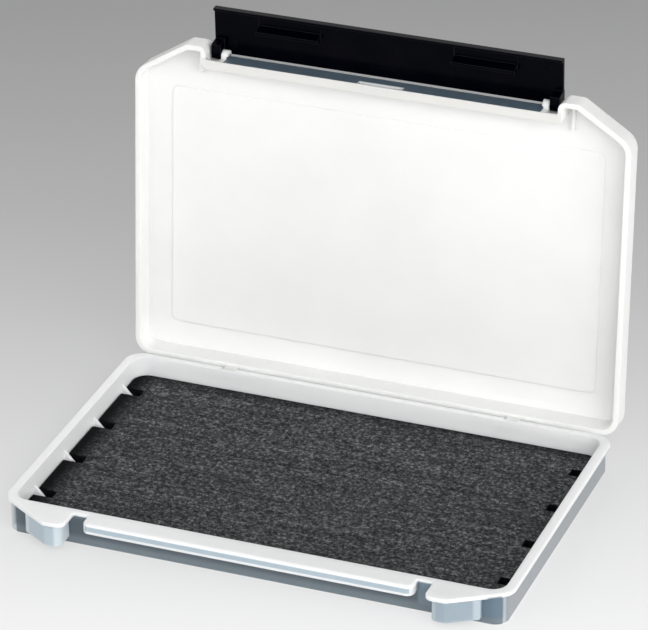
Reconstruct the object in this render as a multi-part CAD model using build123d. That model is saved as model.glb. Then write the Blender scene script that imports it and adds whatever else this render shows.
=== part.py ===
from build123d import *

import os
from math import cos, radians, sin

# Shallow fly box in frosted polypropylene: a tray with a slit foam sheet, a lid on two wire hinge pins,
# and a full-width latch that pivots on the lid's front wall and hooks under the tray's front shelf.
# Millimetres. +X runs along the box, +Y to the hinge side, +Z up; the origin is the middle of the underside.
# The lid and latch are drawn closed, then swung to their open rest pose about their own pivots.

# Overall sizes
WIDTH = 205.0
BODY_DEPTH = 126.0
NOSE_REACH = 10.6
BASE_HEIGHT = 13.8
LID_HEIGHT = 10.6
PARTING_GAP = 0.2

# Plan outline shared by the tray's rim and the lid
HALF_WIDTH = WIDTH / 2
FRONT_Y = -BODY_DEPTH / 2
BACK_Y = BODY_DEPTH / 2
NOSE_Y = FRONT_Y - NOSE_REACH
HORN_INNER_X = 72.3
NOSE_OUTER_X = 80.8
CHAMFER_Y = -60.0
HORN_ROOT_RADIUS = 1.0
NOSE_INNER_RADIUS = 3.2
NOSE_OUTER_RADIUS = 3.0
CHAMFER_RADIUS = 8.0
BACK_RADIUS = 7.0

# Tray walls
BODY_HALF_WIDTH = 100.4
BODY_CORNER_RADIUS = 5.5
BODY_EDGE_RADIUS = 0.8
FLOOR = 1.6
CAVITY_HALF_WIDTH = 98.7
FRONT_WALL = 2.5
BACK_WALL = 2.6
CAVITY_RADIUS = 6.0
RIM_FLANGE = 1.6
RIM_EDGE_RADIUS = 0.5

# Horns either side of the latch: skirts under the rim, hollow from below
HORN_SKIRT_X = 74.3
HORN_INSET = 1.2
HORN_OUTER_X = 91.5
HORN_BOTTOM_Z = 3.0
HORN_SKIN = 1.7

# Shelf along the front wall that the latch hooks under, hollow from below
SHELF_HALF = 66.5
SHELF_REACH = 6.4
SHELF_BOTTOM_Z = 9.5
SHELF_SKIN = 1.5
SHELF_CORNER_RADIUS = 3.0
SHELF_TOP_RADIUS = 1.3
SHELF_Y = FRONT_Y - SHELF_REACH
SHELF_RIBS_X = (-39.9, -13.3, 13.3, 39.9)
SHELF_RIB_THICKNESS = 1.2

# Thin fins on the side walls that key into slots in the foam
KEY_RIB_FIRST_Y = -40.7
KEY_RIB_PITCH = 28.5
KEY_RIB_COUNT = 4
KEY_RIB_ROOT = 1.4
KEY_RIB_REACH = 4.2
KEY_RIB_TIP = 0.8
KEY_RIB_WALL_Z = 8.4
KEY_RIB_TIP_Z = 3.8

# Hinge at the back, with a heel on the tray's knuckles that stops the lid
HINGE_Y = BACK_Y + 0.7
HINGE_Z = 11.0
KNUCKLE_RADIUS = 1.9
PIN_RADIUS = 1.0
PIN_FIT = 0.02
PIN_RUNNING_FIT = 0.06
KNUCKLE_CLEARANCE = 0.4
BASE_KNUCKLES_X = ((44.5, 57.0), (62.9, 74.0))
LID_KNUCKLE_X = (57.4, 62.5)
BASE_KNUCKLE_BOTTOM_Z = 7.4
STOP_REACH = 4.6
STOP_TOP_Z = 11.2
PIN_STOP_X = 45.5
PIN_END_X = 73.4
LID_OPEN_ANGLE = 93.7

# Foam sheet
FOAM_THICKNESS = 4.2
FOAM_CLEARANCE = 0.4
FOAM_SLOT_WIDTH = 5.4
FOAM_SLOT_REACH = 8.4

# Lid
LID_HALF_WIDTH = 102.3
LID_WALL = 2.2
LID_PANEL = 1.6
LID_EDGE_RADIUS = 2.2
LID_NOSE_INNER_RADIUS = 0.3
NOTCH_HALF = 72.5
NOTCH_Y = -68.2
NOTCH_WALL = 3.8
NOTCH_RADIUS = 1.0
STEP_HALF = 89.8
STEP_FRONT_Y = -52.0
STEP_BACK_Y = 50.1
STEP_DEPTH = 0.4
STEP_RADIUS = 3.0
TAB_RIB_X = 76.9
TAB_RIB_BACK_Y = -60.2
TAB_RIB_HEIGHT = 3.0
TAB_RIB_THICKNESS = 1.2
FINGER_SLOT_HALF = 8.8
FINGER_SLOT_HEIGHT = 1.8
FINGER_SLOT_DEPTH = 2.4
FINGER_SLOT_Z = 0.7

# Latch pivots on the lid's front wall
PIVOT_Y = -69.0
PIVOT_RISE = 6.4
BOSS_RADIUS = 2.2
BOSS_INNER_X = 64.8
STRIP_HALF = 67.5
POCKET_DEPTH = 2.5
POCKET_FLOOR_RISE = 1.2
POCKET_TOP_RISE = 9.5

# Latch
LATCH_HALF = 71.7
LATCH_STANDOFF = 2.8
LATCH_THICKNESS = 1.8
LATCH_TOP = 0.6
LATCH_LENGTH = 18.9
LATCH_EDGE_RADIUS = 0.5
LATCH_OPEN_ANGLE = 84.0
LIP_DEPTH = 1.2
LIP_HEIGHT = 1.0
EAR_INNER_X = 67.9
EAR_RADIUS = 2.0
EAR_BACK = 1.8
EAR_DROP = 4.6
EAR_ROOT_DROP = 5.4
PIVOT_PIN_RADIUS = 1.0
PIVOT_PIN_LENGTH = 1.9
PIVOT_BORE_RADIUS = 1.06
PIVOT_BORE_DEPTH = 2.2
TOOTH_INNER_X = 27.4
TOOTH_OUTER_X = 53.2
TOOTH_DEPTH = 3.4
TOOTH_GAP = 0.3
TOOTH_THICKNESS = 1.2
TOOTH_ROOT_THICKNESS = 2.4
RELIEF_DEPTH = 0.5
RELIEF_TOP_DROP = 13.4
RELIEF_BOTTOM_DROP = 17.3

LID_RIM_Z = BASE_HEIGHT + PARTING_GAP
LID_TOP_Z = LID_RIM_Z + LID_HEIGHT
PANEL_Z = LID_TOP_Z - LID_PANEL
PIVOT_Z = LID_RIM_Z + PIVOT_RISE
KEY_RIBS_Y = [KEY_RIB_FIRST_Y + n * KEY_RIB_PITCH for n in range(KEY_RIB_COUNT)]
SIDES = (-1, 1)
MARGIN = 1.0


def mirrored_face(right_half):
    """Face inside an outline given by its right half, as (x, y, corner radius) from front to back."""
    left_half = [(-x, y, radius) for x, y, radius in reversed(right_half)]
    corners = right_half + left_half
    points = [(x, y) for x, y, _ in corners]
    radii = [radius for _, _, radius in corners]
    return make_face(FilletPolyline(*points, radius=radii, close=True))


def prism(face, bottom, top):
    """Stand a plan face up as a solid between two heights."""
    return extrude(Pos(0, 0, bottom) * face, amount=top - bottom)


def block(x_range, y_range, z_range):
    """Box between two values on each axis."""
    (x0, x1), (y0, y1), (z0, z1) = x_range, y_range, z_range
    return Pos((x0 + x1) / 2, (y0 + y1) / 2, (z0 + z1) / 2) * Box(x1 - x0, y1 - y0, z1 - z0)


def rod(radius, x_range, y, z):
    """Cylinder along X between two values of x."""
    x0, x1 = x_range
    return Pos((x0 + x1) / 2, y, z) * Rot(0, 90, 0) * Cylinder(radius, x1 - x0)


def side_range(side, inner, outer):
    """Range of x on one side of the box, in rising order."""
    return tuple(sorted((side * inner, side * outer)))


def side_slab(profile, side, inner, outer):
    """Solid of a (y, z) profile between two distances from the middle on one side."""
    x0, x1 = side_range(side, inner, outer)
    face = make_face(Polyline(*[(x0, y, z) for y, z in profile], close=True))
    return extrude(face, amount=x1 - x0, dir=(1, 0, 0))


def rim_face():
    """Outline of the tray's rim: straight sides, chamfered front corners and a horn each side."""
    return mirrored_face([
        (HORN_INNER_X, FRONT_Y, HORN_ROOT_RADIUS),
        (HORN_INNER_X, NOSE_Y, NOSE_INNER_RADIUS),
        (NOSE_OUTER_X, NOSE_Y, NOSE_OUTER_RADIUS),
        (HALF_WIDTH, CHAMFER_Y, CHAMFER_RADIUS),
        (HALF_WIDTH, BACK_Y, BACK_RADIUS),
    ])


def lid_face():
    """Outline of the lid: the rim's, with a shallower notch whose wall stands over the shelf's front."""
    return mirrored_face([
        (NOTCH_HALF, NOTCH_Y, NOTCH_RADIUS),
        (NOTCH_HALF, NOSE_Y, NOSE_INNER_RADIUS),
        (NOSE_OUTER_X, NOSE_Y, NOSE_OUTER_RADIUS),
        (LID_HALF_WIDTH, CHAMFER_Y, CHAMFER_RADIUS),
        (LID_HALF_WIDTH, BACK_Y, BACK_RADIUS),
    ])


def cavity_face():
    """Outline of the tray's hollow."""
    return mirrored_face([
        (CAVITY_HALF_WIDTH, FRONT_Y + FRONT_WALL, CAVITY_RADIUS),
        (CAVITY_HALF_WIDTH, BACK_Y - BACK_WALL, CAVITY_RADIUS),
    ])


def chamfer_ends(half_width, side_x, inset):
    """Where a front corner's chamfer, drawn in by the inset, meets the nose (x) and a side line (y)."""
    slope = (CHAMFER_Y - NOSE_Y) / (half_width - NOSE_OUTER_X)
    lean = inset * (1 + slope * slope) ** 0.5
    nose_x = NOSE_OUTER_X + (inset - lean) / slope
    side_y = NOSE_Y + slope * (side_x - NOSE_OUTER_X) + lean
    return nose_x, side_y


def lid_hollow_face():
    """Outline of the lid's hollow, one wall inside the lid's own and further in behind the notch."""
    side_x = LID_HALF_WIDTH - LID_WALL
    nose_x, side_y = chamfer_ends(LID_HALF_WIDTH, side_x, LID_WALL)
    return mirrored_face([
        (NOTCH_HALF + LID_WALL, NOTCH_Y + NOTCH_WALL, NOTCH_RADIUS + LID_WALL),
        (NOTCH_HALF + LID_WALL, NOSE_Y + LID_WALL, LID_NOSE_INNER_RADIUS),
        (nose_x, NOSE_Y + LID_WALL, LID_NOSE_INNER_RADIUS),
        (side_x, side_y, CHAMFER_RADIUS - LID_WALL),
        (side_x, BACK_Y - LID_WALL, BACK_RADIUS - LID_WALL),
    ])


def horn_face(side, skin):
    """Plan of one horn's skirt, set in under the rim and drawn in further by the skin's thickness."""
    inset = HORN_INSET + skin
    inner_x = HORN_SKIRT_X + skin
    outer_x = HORN_OUTER_X - skin
    nose_x, side_y = chamfer_ends(HALF_WIDTH, outer_x, inset)
    points = [
        (inner_x, FRONT_Y + FRONT_WALL / 2),
        (inner_x, NOSE_Y + inset),
        (nose_x, NOSE_Y + inset),
        (outer_x, side_y),
        (outer_x, FRONT_Y + FRONT_WALL / 2),
    ]
    radii = [0, NOSE_INNER_RADIUS - skin, NOSE_OUTER_RADIUS - skin, HORN_ROOT_RADIUS, 0]
    outline = FilletPolyline(*[(side * x, y) for x, y in points], radius=radii, close=True)
    return make_face(outline)


def horns():
    """Skirts that carry the rim forward each side of the latch, open underneath."""
    solids = []
    for side in SIDES:
        skirt = prism(horn_face(side, 0), HORN_BOTTOM_Z, BASE_HEIGHT - RIM_FLANGE)
        hollow = prism(horn_face(side, HORN_SKIN), HORN_BOTTOM_Z - MARGIN, BASE_HEIGHT)
        front_wall = block(side_range(side, 0, HALF_WIDTH), (FRONT_Y, BACK_Y), (0, BASE_HEIGHT))
        solids.append(skirt - (hollow - front_wall))
    return solids


def shelf():
    """Shelf with a rounded front edge and a ribbed hollow, which the latch's teeth hook under."""
    plan = mirrored_face([
        (SHELF_HALF, SHELF_Y, SHELF_CORNER_RADIUS),
        (SHELF_HALF, FRONT_Y + FRONT_WALL / 2, 0),
    ])
    outer = prism(plan, SHELF_BOTTOM_Z, BASE_HEIGHT)
    top_edges = outer.edges().group_by(Axis.Z)[-1].filter_by(lambda edge: edge.center().Y < FRONT_Y)
    outer = fillet(top_edges, SHELF_TOP_RADIUS)
    pocket_plan = mirrored_face([
        (SHELF_HALF - SHELF_SKIN, SHELF_Y + SHELF_SKIN, SHELF_CORNER_RADIUS - SHELF_SKIN),
        (SHELF_HALF - SHELF_SKIN, FRONT_Y, 0),
    ])
    pocket = prism(pocket_plan, SHELF_BOTTOM_Z - MARGIN, BASE_HEIGHT - SHELF_SKIN)
    ribs_y = (SHELF_Y + TOOTH_DEPTH, FRONT_Y)
    for x in SHELF_RIBS_X:
        rib_x = (x - SHELF_RIB_THICKNESS / 2, x + SHELF_RIB_THICKNESS / 2)
        pocket -= block(rib_x, ribs_y, (SHELF_BOTTOM_Z, BASE_HEIGHT))
    return outer - pocket


def key_rib(side, y):
    """Thin fin on a side wall, sloping down to its tip."""
    root_x = side * (CAVITY_HALF_WIDTH + MARGIN / 2)
    tip_x = side * (CAVITY_HALF_WIDTH - KEY_RIB_REACH)
    plan = make_face(Polyline(
        (root_x, y - KEY_RIB_ROOT / 2),
        (tip_x, y - KEY_RIB_TIP / 2),
        (tip_x, y + KEY_RIB_TIP / 2),
        (root_x, y + KEY_RIB_ROOT / 2),
        close=True,
    ))
    body = prism(plan, FLOOR - MARGIN / 2, KEY_RIB_WALL_Z)
    slope = (KEY_RIB_WALL_Z - KEY_RIB_TIP_Z) / KEY_RIB_REACH
    overrun_x = tip_x - side * MARGIN
    above = make_face(Polyline(
        (side * CAVITY_HALF_WIDTH, y - KEY_RIB_ROOT, KEY_RIB_WALL_Z),
        (overrun_x, y - KEY_RIB_ROOT, KEY_RIB_TIP_Z - slope * MARGIN),
        (overrun_x, y - KEY_RIB_ROOT, KEY_RIB_WALL_Z + MARGIN),
        (side * CAVITY_HALF_WIDTH, y - KEY_RIB_ROOT, KEY_RIB_WALL_Z + MARGIN),
        close=True,
    ))
    return body - extrude(above, amount=2 * KEY_RIB_ROOT, dir=(0, 1, 0))


def base_knuckles():
    """Hinge knuckles on the tray's back wall, each with a heel that the open lid's back wall lands on."""
    solids = []
    for side in SIDES:
        for inner, outer in BASE_KNUCKLES_X:
            x_range = side_range(side, inner, outer)
            solids.append(rod(KNUCKLE_RADIUS, x_range, HINGE_Y, HINGE_Z))
            web_y = (BACK_Y - BACK_WALL / 2, HINGE_Y)
            solids.append(block(x_range, web_y, (HINGE_Z - KNUCKLE_RADIUS, HINGE_Z + KNUCKLE_RADIUS)))
            gusset = [
                (BACK_Y - MARGIN, BASE_KNUCKLE_BOTTOM_Z),
                (BACK_Y, BASE_KNUCKLE_BOTTOM_Z),
                (HINGE_Y, HINGE_Z - KNUCKLE_RADIUS),
                (BACK_Y - MARGIN, HINGE_Z - KNUCKLE_RADIUS),
            ]
            solids.append(side_slab(gusset, side, inner, outer))
            heel = [
                (HINGE_Y, HINGE_Z - KNUCKLE_RADIUS),
                (HINGE_Y + KNUCKLE_RADIUS, HINGE_Z - KNUCKLE_RADIUS),
                (HINGE_Y + STOP_REACH, STOP_TOP_Z - KNUCKLE_RADIUS / 2),
                (HINGE_Y + STOP_REACH, STOP_TOP_Z),
                (HINGE_Y, STOP_TOP_Z),
            ]
            solids.append(side_slab(heel, side, inner, outer))
    return solids


def base_tray():
    """Open tray with its rim flange, horns, latch shelf, foam-keying ribs and hinge knuckles."""
    body_face = mirrored_face([
        (BODY_HALF_WIDTH, FRONT_Y, BODY_CORNER_RADIUS),
        (BODY_HALF_WIDTH, BACK_Y, BODY_CORNER_RADIUS),
    ])
    body = prism(body_face, 0, BASE_HEIGHT)
    body = fillet(body.edges().group_by(Axis.Z)[0], BODY_EDGE_RADIUS)
    flange = prism(rim_face(), BASE_HEIGHT - RIM_FLANGE, BASE_HEIGHT)
    flange = fillet(flange.edges().group_by(Axis.Z)[-1], RIM_EDGE_RADIUS)
    tray = body + flange + shelf()
    for horn in horns():
        tray += horn
    for knuckle in base_knuckles():
        tray += knuckle
    tray -= prism(cavity_face(), FLOOR, BASE_HEIGHT + MARGIN)
    for side in SIDES:
        for y in KEY_RIBS_Y:
            tray += key_rib(side, y)
        inner = LID_KNUCKLE_X[0] - KNUCKLE_CLEARANCE
        outer = LID_KNUCKLE_X[1] + KNUCKLE_CLEARANCE
        reach = KNUCKLE_RADIUS + KNUCKLE_CLEARANCE
        gap_y = (HINGE_Y - reach, HINGE_Y + KNUCKLE_RADIUS + MARGIN)
        tray -= block(side_range(side, inner, outer), gap_y, (HINGE_Z - reach, BASE_HEIGHT + MARGIN))
        bore = side_range(side, PIN_STOP_X - PIN_FIT, BASE_KNUCKLES_X[-1][1] + MARGIN)
        tray -= rod(PIN_RADIUS + PIN_FIT, bore, HINGE_Y, HINGE_Z)
    return tray


def hinge_pin(side):
    """Wire pin through one hinge."""
    return rod(PIN_RADIUS, side_range(side, PIN_STOP_X, PIN_END_X), HINGE_Y, HINGE_Z)


def foam_sheet():
    """Foam sheet on the tray's floor, slotted round the fins."""
    plan = mirrored_face([
        (CAVITY_HALF_WIDTH - FOAM_CLEARANCE, FRONT_Y + FRONT_WALL + FOAM_CLEARANCE, CAVITY_RADIUS),
        (CAVITY_HALF_WIDTH - FOAM_CLEARANCE, BACK_Y - BACK_WALL - FOAM_CLEARANCE, CAVITY_RADIUS),
    ])
    sheet = prism(plan, FLOOR, FLOOR + FOAM_THICKNESS)
    for side in SIDES:
        for y in KEY_RIBS_Y:
            slot_x = side_range(side, CAVITY_HALF_WIDTH - FOAM_SLOT_REACH, HALF_WIDTH)
            slot_y = (y - FOAM_SLOT_WIDTH / 2, y + FOAM_SLOT_WIDTH / 2)
            sheet -= block(slot_x, slot_y, (0, BASE_HEIGHT))
    return sheet


def lid_knuckle(side):
    """Hinge knuckle that hangs from the lid's back wall."""
    inner, outer = LID_KNUCKLE_X
    barrel = rod(KNUCKLE_RADIUS, side_range(side, inner, outer), HINGE_Y, HINGE_Z)
    y_range = (HINGE_Y - KNUCKLE_RADIUS, HINGE_Y + KNUCKLE_RADIUS)
    web = block(side_range(side, inner, outer), y_range, (HINGE_Z, LID_RIM_Z))
    foot_profile = [
        (BACK_Y - MARGIN, LID_RIM_Z),
        (HINGE_Y + KNUCKLE_RADIUS, LID_RIM_Z),
        (BACK_Y, LID_RIM_Z + 2 * KNUCKLE_RADIUS),
        (BACK_Y - MARGIN, LID_RIM_Z + 2 * KNUCKLE_RADIUS),
    ]
    foot = side_slab(foot_profile, side, inner, outer)
    bore_x = side_range(side, inner - MARGIN, outer + MARGIN)
    bore = rod(PIN_RADIUS + PIN_RUNNING_FIT, bore_x, HINGE_Y, HINGE_Z)
    return barrel + web + foot - bore


def latch_boss(side):
    """Boss on the lid's front wall that carries one end of the latch."""
    return rod(BOSS_RADIUS, side_range(side, BOSS_INNER_X, STRIP_HALF), PIVOT_Y, PIVOT_Z)


def latch_pocket(side):
    """Space for the latch's ear in the lid's front wall, and the bore for its pivot pin."""
    pocket = block(
        side_range(side, STRIP_HALF, NOTCH_HALF),
        (NOTCH_Y - MARGIN, PIVOT_Y + POCKET_DEPTH),
        (LID_RIM_Z + POCKET_FLOOR_RISE, LID_RIM_Z + POCKET_TOP_RISE),
    )
    bore_x = side_range(side, STRIP_HALF - PIVOT_BORE_DEPTH, STRIP_HALF + MARGIN)
    return pocket + rod(PIVOT_BORE_RADIUS, bore_x, PIVOT_Y, PIVOT_Z)


def tab_rib(side):
    """Short stiffening rib behind the lid's tab."""
    x_range = side_range(side, TAB_RIB_X - TAB_RIB_THICKNESS / 2, TAB_RIB_X + TAB_RIB_THICKNESS / 2)
    y_range = (NOSE_Y + LID_WALL / 2, TAB_RIB_BACK_Y)
    return block(x_range, y_range, (PANEL_Z - TAB_RIB_HEIGHT, PANEL_Z + MARGIN / 2))


def lid_closed():
    """Lid shell with its notch, latch bosses and hinge knuckles, in the closed pose."""
    shell = prism(lid_face(), LID_RIM_Z, LID_TOP_Z)
    shell = fillet(shell.edges().group_by(Axis.Z)[-1], LID_EDGE_RADIUS)
    shell -= prism(lid_hollow_face(), LID_RIM_Z - MARGIN, PANEL_Z)
    step = mirrored_face([(STEP_HALF, STEP_FRONT_Y, STEP_RADIUS), (STEP_HALF, STEP_BACK_Y, STEP_RADIUS)])
    shell += prism(step, PANEL_Z - STEP_DEPTH, PANEL_Z + STEP_DEPTH)
    shell -= prism(step, LID_TOP_Z - STEP_DEPTH, LID_TOP_Z + MARGIN)
    for side in SIDES:
        shell += latch_boss(side)
        shell += tab_rib(side)
        shell += lid_knuckle(side)
        shell -= latch_pocket(side)
    slot_z = LID_RIM_Z + FINGER_SLOT_Z
    slot_y = (NOTCH_Y - MARGIN, NOTCH_Y + FINGER_SLOT_DEPTH)
    shell -= block((-FINGER_SLOT_HALF, FINGER_SLOT_HALF), slot_y, (slot_z, slot_z + FINGER_SLOT_HEIGHT))
    return shell


def latch_tooth(side):
    """Ramped tooth that hooks under the shelf."""
    face_y = PIVOT_Y - LATCH_STANDOFF
    tip_y = face_y + TOOTH_DEPTH
    catch_z = SHELF_BOTTOM_Z - TOOTH_GAP
    profile = [
        (face_y - LATCH_THICKNESS / 2, catch_z),
        (tip_y, catch_z),
        (tip_y, catch_z - TOOTH_THICKNESS),
        (face_y, catch_z - TOOTH_ROOT_THICKNESS),
        (face_y - LATCH_THICKNESS / 2, catch_z - TOOTH_ROOT_THICKNESS),
    ]
    return side_slab(profile, side, TOOTH_INNER_X, TOOTH_OUTER_X)


def latch_ear(side):
    """End plate of the latch, with the pin that turns in the lid's boss."""
    inner_y = PIVOT_Y - LATCH_STANDOFF
    outer_y = inner_y - LATCH_THICKNESS
    profile = [
        (PIVOT_Y + EAR_RADIUS, PIVOT_Z),
        (PIVOT_Y + EAR_BACK, PIVOT_Z - EAR_DROP),
        (inner_y, PIVOT_Z - EAR_ROOT_DROP),
        (outer_y, PIVOT_Z - EAR_ROOT_DROP),
        (outer_y, PIVOT_Z + LATCH_TOP),
        (inner_y, PIVOT_Z + LATCH_TOP),
        (PIVOT_Y, PIVOT_Z + EAR_RADIUS),
        (PIVOT_Y, PIVOT_Z),
    ]
    ear = side_slab(profile, side, EAR_INNER_X, LATCH_HALF)
    lobe = rod(EAR_RADIUS, side_range(side, EAR_INNER_X, LATCH_HALF), PIVOT_Y, PIVOT_Z)
    pin_x = side_range(side, EAR_INNER_X - PIVOT_PIN_LENGTH, LATCH_HALF)
    return ear + lobe + rod(PIVOT_PIN_RADIUS, pin_x, PIVOT_Y, PIVOT_Z)


def latch_closed():
    """Full-width latch plate with its ears, teeth and finger lip, in the closed pose."""
    inner_y = PIVOT_Y - LATCH_STANDOFF
    outer_y = inner_y - LATCH_THICKNESS
    bottom_z = PIVOT_Z - LATCH_LENGTH
    plate = block((-LATCH_HALF, LATCH_HALF), (outer_y, inner_y), (bottom_z, PIVOT_Z + LATCH_TOP))
    outer_edges = plate.edges().group_by(Axis.Y)[0]
    plate = fillet(outer_edges, LATCH_EDGE_RADIUS)
    lip_y = (inner_y - MARGIN, inner_y + LIP_DEPTH)
    plate += block((-LATCH_HALF, LATCH_HALF), lip_y, (bottom_z, bottom_z + LIP_HEIGHT))
    for side in SIDES:
        relief = block(
            side_range(side, TOOTH_INNER_X, TOOTH_OUTER_X),
            (inner_y - RELIEF_DEPTH, inner_y + MARGIN),
            (PIVOT_Z - RELIEF_BOTTOM_DROP, PIVOT_Z - RELIEF_TOP_DROP),
        )
        plate -= relief
        plate += latch_tooth(side)
        plate += latch_ear(side)
    return plate


def open_lid(shape):
    """Swing a closed shape open with the lid."""
    return shape.rotate(Axis((0, HINGE_Y, HINGE_Z), (1, 0, 0)), -LID_OPEN_ANGLE)


def open_latch(shape):
    """Swing the closed latch open on the closed lid."""
    return shape.rotate(Axis((0, PIVOT_Y, PIVOT_Z), (1, 0, 0)), -LATCH_OPEN_ANGLE)


def open_pivot():
    """Where the latch's pivot lies with the lid open, as (y, z)."""
    angle = radians(LID_OPEN_ANGLE)
    y = PIVOT_Y - HINGE_Y
    z = PIVOT_Z - HINGE_Z
    return HINGE_Y + y * cos(angle) + z * sin(angle), HINGE_Z - y * sin(angle) + z * cos(angle)


def main():
    """Build every piece and write it as STEP."""
    os.makedirs("parts", exist_ok=True)
    pieces = {
        "base_tray": base_tray(),
        "foam_sheet": foam_sheet(),
        "hinge_pin_left": hinge_pin(-1),
        "hinge_pin_right": hinge_pin(1),
        "lid": open_lid(lid_closed()),
        "latch": open_lid(open_latch(latch_closed())),
    }
    for name, shape in pieces.items():
        export_step(shape, f"parts/{name}.step")
    print("hinge axis y, z:", HINGE_Y, HINGE_Z)
    print("latch pivot y, z with the lid open:", open_pivot())


if __name__ == "__main__":
    main()
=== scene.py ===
"""Looks and studio for a slim fly box: frosted tray and lid, gloss black latch, slit foam sheet."""

import logging
import math
from dataclasses import dataclass, field
from enum import Enum

import bmesh
import bpy
from mathutils import Matrix, Vector, noise

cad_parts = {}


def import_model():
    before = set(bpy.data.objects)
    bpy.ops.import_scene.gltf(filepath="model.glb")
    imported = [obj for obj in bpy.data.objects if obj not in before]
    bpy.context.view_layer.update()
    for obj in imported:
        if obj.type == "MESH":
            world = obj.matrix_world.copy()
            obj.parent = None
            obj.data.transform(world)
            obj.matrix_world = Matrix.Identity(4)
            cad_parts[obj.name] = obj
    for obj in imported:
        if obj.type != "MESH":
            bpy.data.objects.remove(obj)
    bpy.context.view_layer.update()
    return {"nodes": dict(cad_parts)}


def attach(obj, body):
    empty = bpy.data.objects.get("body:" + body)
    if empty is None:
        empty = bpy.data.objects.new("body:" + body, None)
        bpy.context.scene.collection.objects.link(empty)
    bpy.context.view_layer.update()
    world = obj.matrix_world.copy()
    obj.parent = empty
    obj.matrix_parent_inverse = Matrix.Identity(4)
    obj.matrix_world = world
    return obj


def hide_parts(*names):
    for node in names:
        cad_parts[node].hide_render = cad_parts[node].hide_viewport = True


LOG = logging.getLogger("fly_box")
MM = 0.001
# sockets of Blender's Mix node when it mixes colours: share of the second, first, second, and result
MIX_SHARE, MIX_FIRST, MIX_SECOND, MIX_RESULT = 0, 6, 7, 2


# --- Small helpers -----------------------------------------------------------------------------


def linear(hex_colour: str) -> tuple[float, float, float, float]:
    """Turn an sRGB hex colour into a linear one.

    Args:
        hex_colour: Six hex digits after a hash, such as "#f4f4f2".

    Returns:
        Linear red, green, blue and an alpha of 1.
    """
    channels = [int(hex_colour[i:i + 2], 16) / 255 for i in (1, 3, 5)]
    curved = [c / 12.92 if c <= 0.04045 else ((c + 0.055) / 1.055) ** 2.4 for c in channels]
    return (*curved, 1.0)


def per_feature(size_mm: float) -> float:
    """Work out the texture scale at which one feature has a given size.

    Args:
        size_mm: The feature's size, in mm.

    Returns:
        The scale, in features per metre.
    """
    return 1 / (size_mm * MM)


def add_node(
    material: bpy.types.Material | bpy.types.World,
    kind: str,
    settings: dict[str | int, object] | None = None,
    links: dict[str | int, bpy.types.NodeSocket] | None = None,
) -> bpy.types.ShaderNode:
    """Add one shader node, set its values and link its inputs.

    Args:
        material: The material (or world) whose node tree gets the node.
        kind: The node's class name.
        settings: Values by input name or index, or by property name; "ramp" lists a colour ramp's stops.
        links: Output sockets by input name or index.

    Returns:
        The new node.
    """
    node = material.node_tree.nodes.new(kind)
    for key, value in (settings or {}).items():
        if key == "ramp":
            stops = node.color_ramp.elements
            while len(stops) < len(value):
                stops.new(0.5)
            for stop, (position, colour) in zip(stops, value):
                stop.position = position
                stop.color = colour
        elif isinstance(key, int) or key in node.inputs:
            node.inputs[key].default_value = value
        else:
            setattr(node, key, value)
    for key, socket in (links or {}).items():
        material.node_tree.links.new(socket, node.inputs[key])
    return node


def blank_material(name: str) -> bpy.types.Material:
    """Make an empty node material.

    Args:
        name: The material's name.

    Returns:
        The material, with nothing in its node tree.
    """
    material = bpy.data.materials.new(name)
    material.use_nodes = True
    material.node_tree.nodes.clear()
    return material


def inside_box(
    material: bpy.types.Material,
    where: bpy.types.NodeSocket,
    low_mm: tuple[float, float, float],
    high_mm: tuple[float, float, float],
    soft_mm: float,
) -> bpy.types.NodeSocket:
    """Add nodes that tell how far inside a box a point of the surface lies.

    Args:
        material: The material that gets the nodes.
        where: The point, in the piece's own coordinates.
        low_mm: The box's lowest corner.
        high_mm: The box's highest corner.
        soft_mm: Width of the fade inside the box's faces.

    Returns:
        A number from 0 at the box's faces and outside to 1 inside.
    """
    centre = [(a + b) / 2 * MM for a, b in zip(low_mm, high_mm)]
    half = [(b - a) / 2 * MM for a, b in zip(low_mm, high_mm)]
    offset = add_node(material, "ShaderNodeVectorMath", {"operation": "SUBTRACT", 1: centre}, {0: where})
    distance = add_node(material, "ShaderNodeVectorMath", {"operation": "ABSOLUTE"},
                        {0: offset.outputs["Vector"]})
    beyond = add_node(material, "ShaderNodeVectorMath", {"operation": "SUBTRACT", 1: half},
                      {0: distance.outputs["Vector"]})
    axes = add_node(material, "ShaderNodeSeparateXYZ", None, {"Vector": beyond.outputs["Vector"]})
    flat = add_node(material, "ShaderNodeMath", {"operation": "MAXIMUM"},
                    {0: axes.outputs["X"], 1: axes.outputs["Y"]})
    furthest = add_node(material, "ShaderNodeMath", {"operation": "MAXIMUM"},
                        {0: flat.outputs["Value"], 1: axes.outputs["Z"]})
    fade = add_node(material, "ShaderNodeMapRange",
                    {"From Min": -soft_mm * MM, "From Max": 0.0, "To Min": 1.0, "To Max": 0.0},
                    {"Value": furthest.outputs["Value"]})
    return fade.outputs["Result"]


def dress(piece: bpy.types.Object, material: bpy.types.Material) -> None:
    """Put one material on a whole piece.

    Args:
        piece: The piece.
        material: The material that covers it.
    """
    piece.data.materials.clear()
    piece.data.materials.append(material)


# --- Finishes ----------------------------------------------------------------------------------


class MouldGrain(Enum):
    """How the mould was finished, as (grain size in mm, bump height in mm)."""

    SPARK_ERODED = (0.45, 0.010)
    FINE_BLASTED = (0.30, 0.006)


@dataclass(frozen=True)
class PaintedLightBox:
    """A box within a moulding whose colour is painted another tone: mostly painted shade or light,
    standing in for what shows through the wall there and how light falls on it.

    Its two corners are in the moulding's own coordinates. The tone fades out over soft_mm inside its
    faces.
    """

    low_mm: tuple[float, float, float]
    high_mm: tuple[float, float, float]
    colour: str
    soft_mm: float = 0.5


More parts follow.
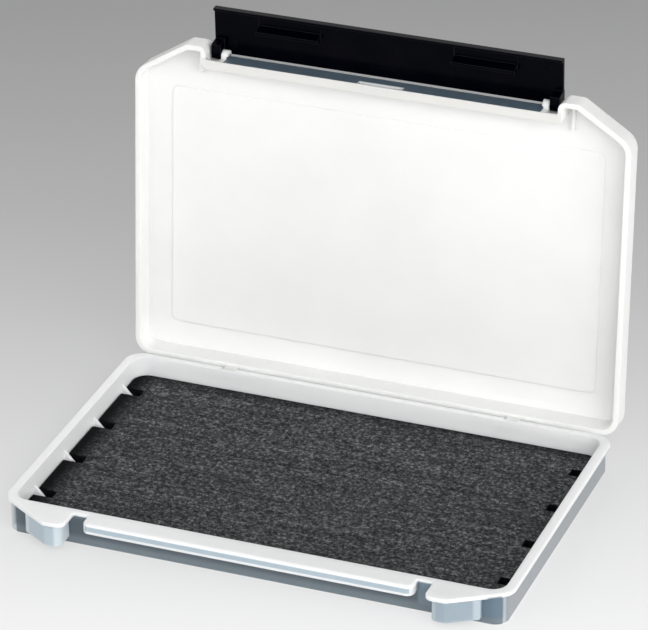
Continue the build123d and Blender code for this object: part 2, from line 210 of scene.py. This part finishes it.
@dataclass(frozen=True)
class FrostedPolypropylene:
    """Injection-moulded natural polypropylene, IOR 1.49, off a lightly textured mould.

    The resin is milky: it scatters most of the light, so rims and thick corners look white, and it lets
    a little blurred light through where a wall is thin. Where something dark lies behind a wall, its
    blue-grey look is painted shade, laid on in painted boxes that also hold some painted highlights.
    """

    name: str
    tint: str
    shade: str
    clarity: float
    roughness: float
    grain: MouldGrain
    painted_boxes: tuple[PaintedLightBox, ...] = ()
    ior: float = 1.49
    milkiness: float = 1.0
    scatter_mm: float = 1.5
    edge_mm: float = 0.35
    flow_mm: float = 30.0
    rub_mm: float = 9.0
    rub_spread: float = 0.06

    def build(self) -> bpy.types.Material:
        """Make the material.

        Returns:
            The finished node material.
        """
        material = blank_material(self.name)
        where = add_node(material, "ShaderNodeTexCoord").outputs["Object"]
        # resin flow: faint clouds a few centimetres across, left as the milky resin fills the mould
        flow = add_node(material, "ShaderNodeTexNoise",
                        {"Scale": per_feature(self.flow_mm), "Detail": 3.0}, {"Vector": where})
        resin = add_node(material, "ShaderNodeValToRGB",
                         {"ramp": [(0.30, linear(self.shade)), (0.70, linear(self.tint))]},
                         {"Fac": flow.outputs["Fac"]})
        colour = resin.outputs["Color"]
        # painted light: each box paints its tone, mostly shade, for what shows through the wall there and
        # how light falls, the later over the earlier
        for painted_box in self.painted_boxes:
            mask = inside_box(material, where, painted_box.low_mm, painted_box.high_mm, painted_box.soft_mm)
            painted_light_mix = add_node(material, "ShaderNodeMix",
                              {"data_type": "RGBA", MIX_SECOND: linear(painted_box.colour)},
                              {MIX_SHARE: mask, MIX_FIRST: colour})
            colour = painted_light_mix.outputs[MIX_RESULT]
        # handling: rubbed patches about a finger wide, a little glossier than the rest
        rub = add_node(material, "ShaderNodeTexNoise",
                       {"Scale": per_feature(self.rub_mm), "Detail": 5.0, "Roughness": 0.6},
                       {"Vector": where})
        rough = add_node(material, "ShaderNodeMapRange",
                         {"To Min": self.roughness - self.rub_spread,
                          "To Max": self.roughness + self.rub_spread},
                         {"Value": rub.outputs["Fac"]})
        size, height = self.grain.value
        # mould texture: real sparks leave 0.05 mm pits, drawn coarser so that they show at all
        pits = add_node(material, "ShaderNodeTexNoise",
                        {"Scale": per_feature(size), "Detail": 2.0}, {"Vector": where})
        edges = add_node(material, "ShaderNodeBevel", {"samples": 4, "Radius": self.edge_mm * MM})
        bump = add_node(material, "ShaderNodeBump", {"Strength": 0.5, "Distance": height * MM},
                        {"Height": pits.outputs["Fac"], "Normal": edges.outputs["Normal"]})
        # light spreads equally far in all three colours, so the resin stays white
        shader = add_node(material, "ShaderNodeBsdfPrincipled",
                          {"IOR": self.ior, "Transmission Weight": self.clarity,
                           "Subsurface Weight": self.milkiness, "Subsurface Scale": self.scatter_mm * MM,
                           "Subsurface Radius": (1.0, 1.0, 1.0)},
                          {"Base Color": colour, "Roughness": rough.outputs["Result"],
                           "Normal": bump.outputs["Normal"]})
        add_node(material, "ShaderNodeOutputMaterial", None, {"Surface": shader.outputs["BSDF"]})
        return material


@dataclass(frozen=True)
class GlossBlackAcetal:
    """Injection-moulded black acetal, IOR 1.48, off a polished mould: deep black with a quiet gloss.

    A painted highlight draws a thin paler line along each of its edges, for the light that they catch.
    """

    name: str = "black_acetal_gloss_moulded"
    body: str = "#000105"
    bloom: str = "#030309"
    # the colour of the painted highlight along the edges
    edge_highlight: str = "#2a2b33"
    ior: float = 1.48
    roughness: float = 0.14
    gloss: float = 0.04
    edge_mm: float = 0.3
    highlight_turn: float = 0.80
    flat_turn: float = 0.99
    cloud_mm: float = 14.0
    smear_mm: float = 6.0
    smear_dulling: float = 0.16
    sink_mm: float = 12.0
    sink_depth_mm: float = 0.05

    def build(self) -> bpy.types.Material:
        """Make the material.

        Returns:
            The finished node material.
        """
        material = blank_material(self.name)
        where = add_node(material, "ShaderNodeTexCoord").outputs["Object"]
        # pigment: faint clouds in the black, as the resin flowed
        cloud = add_node(material, "ShaderNodeTexNoise",
                         {"Scale": per_feature(self.cloud_mm), "Detail": 4.0}, {"Vector": where})
        resin = add_node(material, "ShaderNodeValToRGB",
                         {"ramp": [(0.35, linear(self.body)), (0.75, linear(self.bloom))]},
                         {"Fac": cloud.outputs["Fac"]})
        # painted highlight: where the rounded normal leaves the flat one, the black is painted a dark grey
        edges = add_node(material, "ShaderNodeBevel", {"samples": 8, "Radius": self.edge_mm * MM})
        plain = add_node(material, "ShaderNodeNewGeometry")
        turn = add_node(material, "ShaderNodeVectorMath", {"operation": "DOT_PRODUCT"},
                        {0: edges.outputs["Normal"], 1: plain.outputs["Normal"]})
        edge_highlight_share = add_node(material, "ShaderNodeMapRange",
                        {"From Min": self.highlight_turn, "From Max": self.flat_turn,
                         "To Min": 1.0, "To Max": 0.0},
                        {"Value": turn.outputs["Value"]})
        colour = add_node(material, "ShaderNodeMix",
                          {"data_type": "RGBA", MIX_SECOND: linear(self.edge_highlight)},
                          {MIX_SHARE: edge_highlight_share.outputs["Result"], MIX_FIRST: resin.outputs["Color"]})
        # finger marks: smears a few millimetres across dull the gloss a little
        smear = add_node(material, "ShaderNodeTexNoise",
                         {"Scale": per_feature(self.smear_mm), "Detail": 6.0, "Distortion": 0.8},
                         {"Vector": where})
        rough = add_node(material, "ShaderNodeMapRange",
                         {"From Min": 0.3, "From Max": 0.8, "To Min": self.roughness,
                          "To Max": self.roughness + self.smear_dulling},
                         {"Value": smear.outputs["Fac"]})
        # sink marks: the plate is never quite flat, in waves about a centimetre long
        sink = add_node(material, "ShaderNodeTexNoise", {"Scale": per_feature(self.sink_mm)},
                        {"Vector": where})
        bump = add_node(material, "ShaderNodeBump",
                        {"Strength": 0.3, "Distance": self.sink_depth_mm * MM},
                        {"Height": sink.outputs["Fac"], "Normal": edges.outputs["Normal"]})
        shader = add_node(material, "ShaderNodeBsdfPrincipled",
                          {"IOR": self.ior, "Specular IOR Level": self.gloss},
                          {"Base Color": colour.outputs[MIX_RESULT], "Roughness": rough.outputs["Result"],
                           "Normal": bump.outputs["Normal"]})
        add_node(material, "ShaderNodeOutputMaterial", None, {"Surface": shader.outputs["BSDF"]})
        return material


@dataclass(frozen=True)
class SkivedPolyethyleneFoam:
    """Charcoal cross-linked polyethylene foam, skived to a sheet: paler cut-open cells on a matt ground,
    with painted glints for the light that they catch.

    Painted shade makes it nearly black towards its left and back borders, where the tray's walls shade
    it, and on its cut faces below the skin, which lie in shade.
    """

    name: str = "charcoal_polyethylene_foam_skived"
    pit: str = "#242527"
    ground: str = "#3d3e3f"
    cell: str = "#525354"
    # the palest speckle, a painted glint
    painted_glint: str = "#7f8182"
    # painted shade, by the tray's walls and on the cut faces
    painted_shade: str = "#0c0d0f"
    ior: float = 1.5
    roughness: float = 0.9
    gloss: float = 0.1
    cell_mm: float = 0.95
    cell_depth_mm: float = 0.25
    speckle_mm: float = 1.25
    streak_mm: float = 3.0
    streak_stretch: float = 0.05
    streak_share: float = 0.22
    # the box outside which the sheet is painted in shade, and the width of that shade's fade
    unshaded_low_mm: tuple[float, float, float] = (-95.5, -72.4, -20.0)
    unshaded_high_mm: tuple[float, float, float] = (109.0, 62.5, 30.0)
    wall_shade_soft_mm: float = 10.0
    skin_low_mm: tuple[float, float, float] = (-110.0, -80.0, 5.2)
    skin_high_mm: tuple[float, float, float] = (110.0, 80.0, 20.0)
    skin_soft_mm: float = 0.4

    def build(self) -> bpy.types.Material:
        """Make the material.

        Returns:
            The finished node material.
        """
        material = blank_material(self.name)
        where = add_node(material, "ShaderNodeTexCoord").outputs["Object"]
        # cells: real ones are 0.3 to 0.5 mm, drawn about twice that so that they show
        cells = add_node(material, "ShaderNodeTexVoronoi",
                         {"feature": "F1", "Scale": per_feature(self.cell_mm), "Randomness": 1.0},
                         {"Vector": where})
        # speckle: patches of open cells a millimetre or so across; its palest stop is a painted glint
        speckle = add_node(material, "ShaderNodeTexNoise",
                           {"Scale": per_feature(self.speckle_mm), "Detail": 2.5, "Roughness": 0.65},
                           {"Vector": where})
        # skiving: the knife leaves faint streaks along the sheet, a few millimetres apart
        along = add_node(material, "ShaderNodeMapping", {"Scale": (self.streak_stretch, 1.0, 1.0)},
                         {"Vector": where})
        streak = add_node(material, "ShaderNodeTexNoise",
                          {"Scale": per_feature(self.streak_mm), "Detail": 2.0},
                          {"Vector": along.outputs["Vector"]})
        lit = add_node(material, "ShaderNodeMath", {"operation": "MULTIPLY_ADD", 1: self.streak_share},
                       {0: streak.outputs["Fac"], 2: speckle.outputs["Fac"]})
        skin = add_node(material, "ShaderNodeValToRGB",
                        {"ramp": [(0.46, linear(self.pit)), (0.58, linear(self.ground)),
                                  (0.68, linear(self.cell)), (0.82, linear(self.painted_glint))]},
                        {"Fac": lit.outputs["Value"]})
        # painted shade: nearly black towards the sheet's left and back borders, where the tray's walls
        # shade it
        unshaded_mask = inside_box(material, where, self.unshaded_low_mm, self.unshaded_high_mm,
                                self.wall_shade_soft_mm)
        # painted shade: below the skin on top, the cut faces and the slots' walls are painted nearly black
        lit_skin_mask = inside_box(material, where, self.skin_low_mm, self.skin_high_mm, self.skin_soft_mm)
        unshaded_share = add_node(material, "ShaderNodeMath", {"operation": "MULTIPLY"},
                              {0: unshaded_mask, 1: lit_skin_mask})
        colour = add_node(material, "ShaderNodeMix",
                          {"data_type": "RGBA", MIX_FIRST: linear(self.painted_shade)},
                          {MIX_SHARE: unshaded_share.outputs["Value"], MIX_SECOND: skin.outputs["Color"]})
        bump = add_node(material, "ShaderNodeBump",
                        {"Strength": 0.8, "Distance": self.cell_depth_mm * MM},
                        {"Height": cells.outputs["Distance"]})
        shader = add_node(material, "ShaderNodeBsdfPrincipled",
                          {"IOR": self.ior, "Roughness": self.roughness,
                           "Specular IOR Level": self.gloss},
                          {"Base Color": colour.outputs[MIX_RESULT], "Normal": bump.outputs["Normal"]})
        add_node(material, "ShaderNodeOutputMaterial", None, {"Surface": shader.outputs["BSDF"]})
        return material


@dataclass(frozen=True)
class DrawnSteelWire:
    """Bright drawn stainless wire: fine lines along its length stretch the highlight round it."""

    name: str = "stainless_wire_drawn"
    metal: str = "#b9bbbd"
    dull: str = "#9c9ea1"
    roughness: float = 0.28
    line_mm: float = 0.15
    line_stretch: float = 0.04
    line_depth_mm: float = 0.01

    def build(self) -> bpy.types.Material:
        """Make the material.

        Returns:
            The finished node material.
        """
        material = blank_material(self.name)
        where = add_node(material, "ShaderNodeTexCoord").outputs["Object"]
        # die lines: real ones are a few hundredths of a mm apart, drawn coarser so that they show
        along = add_node(material, "ShaderNodeMapping", {"Scale": (self.line_stretch, 1.0, 1.0)},
                         {"Vector": where})
        lines = add_node(material, "ShaderNodeTexNoise",
                         {"Scale": per_feature(self.line_mm), "Detail": 3.0},
                         {"Vector": along.outputs["Vector"]})
        colour = add_node(material, "ShaderNodeValToRGB",
                          {"ramp": [(0.3, linear(self.dull)), (0.7, linear(self.metal))]},
                          {"Fac": lines.outputs["Fac"]})
        bump = add_node(material, "ShaderNodeBump",
                        {"Strength": 0.3, "Distance": self.line_depth_mm * MM},
                        {"Height": lines.outputs["Fac"]})
        shader = add_node(material, "ShaderNodeBsdfPrincipled",
                          {"Metallic": 1.0, "Roughness": self.roughness},
                          {"Base Color": colour.outputs["Color"], "Normal": bump.outputs["Normal"]})
        add_node(material, "ShaderNodeOutputMaterial", None, {"Surface": shader.outputs["BSDF"]})
        return material


@dataclass(frozen=True)
class SweptPaper:
    """Seamless studio paper with no gloss: painted shade takes it from pale in front to grey behind.

    The camera sees part of its colour as its own light, which keeps the box's shadow soft and pale.
    """

    name: str = "seamless_paper"
    near_m: float = -0.10
    far_m: float = 0.50
    # painted shade, from pale in front to grey behind
    falloff_tones: tuple[tuple[float, str], ...] = (
        (0.0, "#f8f8f8"), (0.17, "#e7e7e7"), (0.29, "#d9d9d9"), (0.43, "#c9c9c9"),
        (0.59, "#bababa"), (0.76, "#adadad"), (0.95, "#a1a1a1"))
    roughness: float = 0.95
    gloss: float = 0.1
    own_light: float = 0.65

    def build(self) -> bpy.types.Material:
        """Make the material.

        Returns:
            The finished node material.
        """
        material = blank_material(self.name)
        where = add_node(material, "ShaderNodeTexCoord").outputs["Object"]
        split = add_node(material, "ShaderNodeSeparateXYZ", None, {"Vector": where})
        depth = add_node(material, "ShaderNodeMapRange", {"From Min": self.near_m, "From Max": self.far_m},
                         {"Value": split.outputs["Y"]})
        colour = add_node(material, "ShaderNodeValToRGB",
                          {"ramp": [(place, linear(tone)) for place, tone in self.falloff_tones]},
                          {"Fac": depth.outputs["Result"]})
        paper = add_node(material, "ShaderNodeBsdfPrincipled",
                         {"Roughness": self.roughness, "Specular IOR Level": self.gloss},
                         {"Base Color": colour.outputs["Color"]})
        glow = add_node(material, "ShaderNodeEmission", {"Strength": 1.0},
                        {"Color": colour.outputs["Color"]})
        path = add_node(material, "ShaderNodeLightPath")
        direct = add_node(material, "ShaderNodeMath", {"operation": "MAXIMUM"},
                          {0: path.outputs["Is Camera Ray"], 1: path.outputs["Is Glossy Ray"]})
        seen = add_node(material, "ShaderNodeMath", {"operation": "MAXIMUM"},
                        {0: direct.outputs["Value"], 1: path.outputs["Is Transmission Ray"]})
        share = add_node(material, "ShaderNodeMath", {"operation": "MULTIPLY", 1: self.own_light},
                         {0: seen.outputs["Value"]})
        mixed = add_node(material, "ShaderNodeMixShader", None,
                         {0: share.outputs["Value"], 1: paper.outputs["BSDF"], 2: glow.outputs["Emission"]})
        add_node(material, "ShaderNodeOutputMaterial", None, {"Surface": mixed.outputs["Shader"]})
        return material


# --- The box's pieces --------------------------------------------------------------------------


@dataclass
class FoamSheet:
    """The slit foam sheet that lies in the tray, slotted round the tray's key fins. Sizes are in mm."""

    half_width: float = 98.2
    front_y: float = -60.0
    back_y: float = 59.9
    corner_radius: float = 6.0
    top_z: float = 5.78
    bottom_z: float = 1.65
    slot_ys: tuple[float, ...] = (-40.7, -12.2, 16.3, 44.8)
    slot_end_x: float = 90.3
    slot_half_width: float = 2.7
    slit_pitch: float = 5.0
    slit_shift: float = 1.0
    slit_margin: float = 2.0
    slit_depth: float = 0.7
    slit_half_width: float = 0.22
    slit_end_x: float = 88.0
    slit_fade: float = 2.0
    unevenness: float = 0.10
    swell_length: float = 14.0
    ripple_length: float = 5.0
    gape_length: float = 22.0
    edge_radius: float = 0.35
    edge_angle: float = 60.0
    even_half_width: float = 88.0
    column_step: float = 1.6
    end_columns: int = 4
    row_step: float = 1.25
    corner_rows: tuple[float, ...] = (0.15, 0.5, 1.0, 1.8, 2.8, 4.2)
    slot_row_inside: float = 0.01
    slot_row_outside: float = 0.08
    slot_row_clearance: float = 0.1
    least_row_step: float = 0.08
    finish: SkivedPolyethyleneFoam = field(default_factory=SkivedPolyethyleneFoam)

    def edge_x(self, y: float) -> float:
        """Half the sheet's width at one depth, after its corners and slots.

        Args:
            y: Distance from the middle, in mm, towards the hinge.

        Returns:
            The edge's x, in mm.
        """
        edge = self.half_width
        inset = min(y - self.front_y, self.back_y - y)
        if inset < self.corner_radius:
            drop = self.corner_radius - inset
            edge -= self.corner_radius - math.sqrt(max(self.corner_radius ** 2 - drop ** 2, 0))
        if any(abs(y - slot_y) < self.slot_half_width for slot_y in self.slot_ys):
            edge = min(edge, self.slot_end_x)
        return edge

    def row_ys(self) -> list[float]:
        """Place the mesh's rows: even steps, with extra rows at slits, slots and corners.

        Returns:
            The rows' distances from the middle towards the hinge, in mm.
        """
        count = round((self.back_y - self.front_y) / self.row_step)
        ys = {round(self.front_y + n * (self.back_y - self.front_y) / count, 3) for n in range(count + 1)}
        for slit_y in self.slit_ys():
            ys = {y for y in ys if abs(y - slit_y) > 3 * self.slit_half_width}
            ys |= {round(slit_y + k * self.slit_half_width, 3) for k in (-2, -1, 0, 1, 2)}
        within = self.slot_half_width - self.slot_row_inside
        beyond = self.slot_half_width + self.slot_row_outside
        clear = self.slot_row_clearance
        for slot_y in self.slot_ys:
            ys = {y for y in ys if not within - clear < abs(y - slot_y) < beyond + clear}
            ys |= {round(slot_y + side * reach, 3) for side in (-1, 1) for reach in (within, beyond)}
        for step in self.corner_rows:
            ys |= {round(self.front_y + step, 3), round(self.back_y - step, 3)}
        kept: list[float] = []
        for y in sorted(ys):
            if not kept or y - kept[-1] > self.least_row_step:
                kept.append(y)
        return kept

    def slit_ys(self) -> list[float]:
        """Place the slits, which run along the sheet.

        Returns:
            The slits' distances from the middle towards the hinge, in mm.
        """
        reach = int((self.back_y - self.slit_margin) / self.slit_pitch)
        return [n * self.slit_pitch + self.slit_shift for n in range(-reach, reach)]

    def height(self, x: float, y: float) -> float:
        """Work out the height of the sheet's top, with its slits and slight unevenness.

        Args:
            x: Distance from the middle to the right, in mm.
            y: Distance from the middle towards the hinge, in mm.

        Returns:
            The height above the tray's underside, in mm.
        """
        # each noise is cut at a plane of its own, so that the waves don't follow each other
        swell = noise.noise(Vector((x / self.swell_length, y / self.swell_length, 0.3)))
        ripple = noise.noise(Vector((x / self.ripple_length, y / self.ripple_length, 7.1)))
        z = self.top_z - self.unevenness * (0.6 + 0.5 * (swell + 0.5 * ripple))
        for slit_y in self.slit_ys():
            off = abs(y - slit_y)
            if off < self.slit_pitch / 2:
                fade = max(0.0, min(1.0, (self.slit_end_x - abs(x)) / self.slit_fade))
                # slits gape unevenly, from a quarter to one and a quarter of their depth
                gape = 0.75 + 0.5 * noise.noise(Vector((x / self.gape_length, slit_y, 2.7)))
                inside = max(0.0, 1 - off / (1.5 * self.slit_half_width))
                z -= fade * gape * self.slit_depth * inside
        return z

    def mesh(self) -> bpy.types.Mesh:
        """Build the sheet as one closed mesh.

        Returns:
            The mesh, in metres in the box's frame.
        """
        inner, outer = self.even_half_width, self.end_columns
        steps = round(2 * inner / self.column_step)
        inner_xs = [-inner + 2 * inner * n / steps for n in range(steps + 1)]
        form = bmesh.new()
        rows = []
        for y in self.row_ys():
            edge = self.edge_x(y)
            outer_xs = [inner + (edge - inner) * k / outer for k in range(1, outer + 1)]
            xs = [-x for x in reversed(outer_xs)] + inner_xs + outer_xs
            rows.append([form.verts.new(Vector((x, y, self.height(x, y))) * MM) for x in xs])
        for row, following in zip(rows, rows[1:]):
            for k in range(len(row) - 1):
                form.faces.new((row[k], row[k + 1], following[k + 1], following[k]))
        rim = [edge for edge in form.edges if edge.is_boundary]
        grown = bmesh.ops.extrude_edge_only(form, edges=rim)["geom"]
        for item in grown:
            if isinstance(item, bmesh.types.BMVert):
                item.co.z = self.bottom_z * MM
        floor_edges = [edge for edge in form.edges if edge.is_boundary]
        bmesh.ops.contextual_create(form, geom=floor_edges)
        bmesh.ops.recalc_face_normals(form, faces=form.faces)
        mesh = bpy.data.meshes.new("foam_pad")
        form.to_mesh(mesh)
        form.free()
        return mesh

    def build(self) -> bpy.types.Object:
        """Make the sheet, dress it and lay it in the tray.

        Returns:
            The sheet's object.
        """
        sheet = bpy.data.objects.new("foam_pad", self.mesh())
        bpy.context.scene.collection.objects.link(sheet)
        sheet.data.shade_smooth()
        rounding = sheet.modifiers.new("cut_edge", "BEVEL")
        rounding.width = self.edge_radius * MM
        rounding.segments = 2
        rounding.limit_method = "ANGLE"
        rounding.angle_limit = math.radians(self.edge_angle)
        dress(sheet, self.finish.build())
        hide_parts("foam_sheet")
        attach(sheet, "base")
        LOG.info("foam sheet: %d faces", len(sheet.data.polygons))
        return sheet


@dataclass
class MouldedShells:
    """The tray and the lid: two mouldings in the same frosted resin."""

    tray_node: str = "base_tray"
    lid_node: str = "lid"
    tray_finish: FrostedPolypropylene = FrostedPolypropylene(
        name="polypropylene_frosted_tray", tint="#fbfdff", shade="#f5f8fa", clarity=0.08,
        roughness=0.34, grain=MouldGrain.FINE_BLASTED,
        painted_boxes=(
            # painted light and shade: the front corners' thick columns, paler on the left than on the right
            PaintedLightBox((-101.4, -64.0, 0.3), (-96.0, -59.0, 12.2), "#cfd6da", 0.35),
            PaintedLightBox((96.0, -64.0, 0.3), (101.4, -59.0, 12.2), "#b3bcc2", 0.35),
            # painted shade: the dark foam's edge seen through the front wall, darkest above the tray's
            # floor
            PaintedLightBox((-96.8, -63.6, 0.0), (99.2, -60.9, 12.6), "#7b868d", 0.4),
            PaintedLightBox((-98.6, -65.4, 2.5), (101.0, -60.4, 13.2), "#56636c", 3.0),
            # the same wall beside the right horn, where more light comes in
            PaintedLightBox((66.0, -65.4, 2.5), (75.0, -60.4, 13.2), "#7d8d99", 1.0),
            PaintedLightBox((86.0, -65.4, 2.5), (99.2, -60.4, 13.2), "#6c7f8d", 1.0),
            # painted shade: the foam's ends seen through the side walls
            PaintedLightBox((-101.4, -60.6, 0.3), (-99.6, 61.5, 12.2), "#9ba0a5", 0.35),
            PaintedLightBox((99.6, -60.6, 0.3), (101.4, 61.5, 12.2), "#9ba0a5", 0.35),
            # painted shade: the floor under the foam, near black in the slots' shadow, and grey where the
            # foam shows through the underside
            PaintedLightBox((-99.2, -61.0, 0.9), (99.2, 61.0, 2.4), "#08090b", 0.2),
            PaintedLightBox((-97.5, -59.5, -1.0), (97.5, 59.5, 0.6), "#98a0a6", 0.5),
            # painted shade: the hollows behind the shelf's face and the horns' skirts, short of their thick
            # rims, paler on the left than on the right
            PaintedLightBox((-65.4, -70.5, 10.4), (65.4, -63.2, 12.8), "#b6c4cd", 0.35),
            PaintedLightBox((-96.0, -76.0, 1.0), (-73.6, -63.2, 12.2), "#d0d9de", 0.6),
            PaintedLightBox((73.6, -76.0, 1.0), (96.0, -63.2, 12.2), "#bcc7ce", 0.6),
            PaintedLightBox((-89.8, -76.0, 3.0), (-76.2, -63.2, 12.2), "#b9c6ce", 0.8),
            PaintedLightBox((76.2, -76.0, 3.0), (89.8, -63.2, 12.2), "#a0aeb8", 0.8),
        ))
    lid_finish: FrostedPolypropylene = FrostedPolypropylene(
        name="polypropylene_milky_lid", tint="#f3f3f1", shade="#efefed", clarity=0.05,
        roughness=0.40, grain=MouldGrain.SPARK_ERODED,
        painted_boxes=(
            # painted reflection and shade of the black latch on the strip that it hangs over
            PaintedLightBox((-65.4, 75.5, 140.9), (65.4, 83.5, 143.2), "#60717f", 0.15),
            # the thick lip under the latch, painted greyer than the thin walls
            PaintedLightBox((-74.0, 74.0, 138.0), (74.0, 75.55, 143.4), "#e3e2df", 0.1),
            # painted highlight on the lip round the finger slot, and painted shade in the dark slot itself
            PaintedLightBox((-9.4, 75.6, 139.2), (9.4, 78.6, 143.2), "#eef1f4", 0.15),
            PaintedLightBox((-8.9, 75.9, 138.9), (8.9, 77.2, 142.6), "#06070a", 0.1),
        ))

    def build(self, nodes: dict[str, bpy.types.Object]) -> None:
        """Dress both mouldings.

        Args:
            nodes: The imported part's objects by node name.
        """
        dress(nodes[self.tray_node], self.tray_finish.build())
        dress(nodes[self.lid_node], self.lid_finish.build())
        LOG.info("tray and lid dressed")


@dataclass
class LatchAndPins:
    """The latch, and the wire pins that the lid turns on."""

    latch_node: str = "latch"
    pin_nodes: tuple[str, ...] = ("hinge_pin_left", "hinge_pin_right")
    latch_finish: GlossBlackAcetal = field(default_factory=GlossBlackAcetal)
    pin_finish: DrawnSteelWire = field(default_factory=DrawnSteelWire)

    def build(self, nodes: dict[str, bpy.types.Object]) -> None:
        """Dress the latch and the pins.

        Args:
            nodes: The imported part's objects by node name.
        """
        dress(nodes[self.latch_node], self.latch_finish.build())
        steel = self.pin_finish.build()
        for name in self.pin_nodes:
            dress(nodes[name], steel)
        LOG.info("latch and hinge pins dressed")


# --- Studio ------------------------------------------------------------------------------------


@dataclass(frozen=True)
class SoftBox:
    """One soft box: where it hangs, how large it is and where it faces, in metres, and its watts."""

    name: str
    at: tuple[float, float, float]
    size: tuple[float, float]
    power: float
    aim: tuple[float, float, float] = (0, 0, 0.04)

    def build(self) -> None:
        """Hang the soft box."""
        data = bpy.data.lights.new(self.name, "AREA")
        data.shape = "RECTANGLE"
        data.size, data.size_y = self.size
        data.energy = self.power
        lamp = bpy.data.objects.new(self.name, data)
        lamp.location = self.at
        lamp.rotation_euler = (Vector(self.aim) - Vector(self.at)).to_track_quat("-Z", "Y").to_euler()
        bpy.context.scene.collection.objects.link(lamp)


@dataclass
class Studio:
    """Paper, soft lights and the camera."""

    azimuth: float = 21.17
    elevation: float = 27.99
    roll: float = -0.42
    camera_at: tuple[float, float, float] = (0.53049, -1.35514, 0.85381)
    lens_mm: float = 241.93
    sensor_mm: float = 36.0
    clip_end_m: float = 50.0
    paper: SweptPaper = field(default_factory=SweptPaper)
    paper_half_m: float = 4.0
    paper_drop_m: float = 0.0001
    room_colour: str = "#f9fafb"
    horizon_level: float = 0.54
    zenith_level: float = 0.37
    backdrop_colour: str = "#e8e8e8"
    soft_boxes: tuple[SoftBox, ...] = (
        # key from the front right, and fill from the front left
        SoftBox("key_softbox", (0.9, -1.2, 0.9), (1.5, 1.2), 18.5),
        SoftBox("fill_softbox", (-1.0, -1.3, 0.9), (1.2, 1.0), 7.0),
        # a low one on the right, which reaches the inside of the tray's left wall
        SoftBox("side_softbox", (1.4, -0.5, 0.3), (0.8, 0.5), 6.0),
        # one behind, which draws the edges of the lid and the latch
        SoftBox("back_softbox", (-0.5, 1.4, 0.9), (1.6, 0.8), 5.0, (0, 0.05, 0.05)),
    )

    def forward(self) -> Vector:
        """Work out where the camera looks.

        Returns:
            The direction, one metre long.
        """
        az, el = math.radians(self.azimuth), math.radians(self.elevation)
        return Vector((-math.sin(az) * math.cos(el), math.cos(az) * math.cos(el), -math.sin(el)))

    def build_camera(self) -> None:
        """Place the camera and make it the scene's own."""
        az, roll = math.radians(self.azimuth), math.radians(self.roll)
        forward = self.forward()
        level = Vector((math.cos(az), math.sin(az), 0))
        upright = level.cross(forward)
        right = math.cos(roll) * level + math.sin(roll) * upright
        up = -math.sin(roll) * level + math.cos(roll) * upright
        data = bpy.data.cameras.new("camera")
        data.sensor_fit = "HORIZONTAL"
        data.sensor_width = self.sensor_mm
        data.lens = self.lens_mm
        data.clip_end = self.clip_end_m
        camera = bpy.data.objects.new("camera", data)
        turn = Matrix((right, up, -forward)).transposed().to_4x4()
        camera.matrix_world = Matrix.Translation(self.camera_at) @ turn
        bpy.context.scene.collection.objects.link(camera)
        bpy.context.scene.camera = camera

    def build_floor(self) -> None:
        """Lay the paper, turned so that its shading runs away from the camera."""
        form = bmesh.new()
        bmesh.ops.create_grid(form, x_segments=1, y_segments=1, size=self.paper_half_m)
        mesh = bpy.data.meshes.new("paper")
        form.to_mesh(mesh)
        form.free()
        floor = bpy.data.objects.new("paper", mesh)
        floor.location = (0, 0, -self.paper_drop_m)
        floor.rotation_euler = (0, 0, math.radians(self.azimuth))
        bpy.context.scene.collection.objects.link(floor)
        dress(floor, self.paper.build())

    def build_world(self) -> None:
        """Fill the room with soft light, a little stronger from the sides, before a pale backdrop."""
        world = bpy.data.worlds.new("room")
        world.use_nodes = True
        world.node_tree.nodes.clear()
        path = add_node(world, "ShaderNodeLightPath")
        where = add_node(world, "ShaderNodeTexCoord")
        split = add_node(world, "ShaderNodeSeparateXYZ", None, {"Vector": where.outputs["Generated"]})
        level = add_node(world, "ShaderNodeMapRange",
                         {"From Min": 0.0, "From Max": 1.0,
                          "To Min": self.horizon_level, "To Max": self.zenith_level},
                         {"Value": split.outputs["Z"]})
        fill = add_node(world, "ShaderNodeBackground", {"Color": linear(self.room_colour)},
                        {"Strength": level.outputs["Result"]})
        seen = add_node(world, "ShaderNodeBackground",
                        {"Color": linear(self.backdrop_colour), "Strength": 1.0})
        mixed = add_node(world, "ShaderNodeMixShader", None,
                         {0: path.outputs["Is Camera Ray"], 1: fill.outputs["Background"],
                          2: seen.outputs["Background"]})
        add_node(world, "ShaderNodeOutputWorld", None, {"Surface": mixed.outputs["Shader"]})
        bpy.context.scene.world = world

    def build(self) -> None:
        """Set up the whole studio."""
        self.build_camera()
        self.build_floor()
        self.build_world()
        for soft_box in self.soft_boxes:
            soft_box.build()
        bpy.context.scene.view_settings.view_transform = "Standard"
        LOG.info("studio ready")


def main() -> None:
    """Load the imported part, dress every piece and light it."""
    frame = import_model()
    nodes = frame["nodes"]
    Studio().build()
    MouldedShells().build(nodes)
    LatchAndPins().build(nodes)
    FoamSheet().build()


if __name__ == "__main__":
    logging.basicConfig(level=logging.INFO, format="%(name)s: %(message)s")
    main()
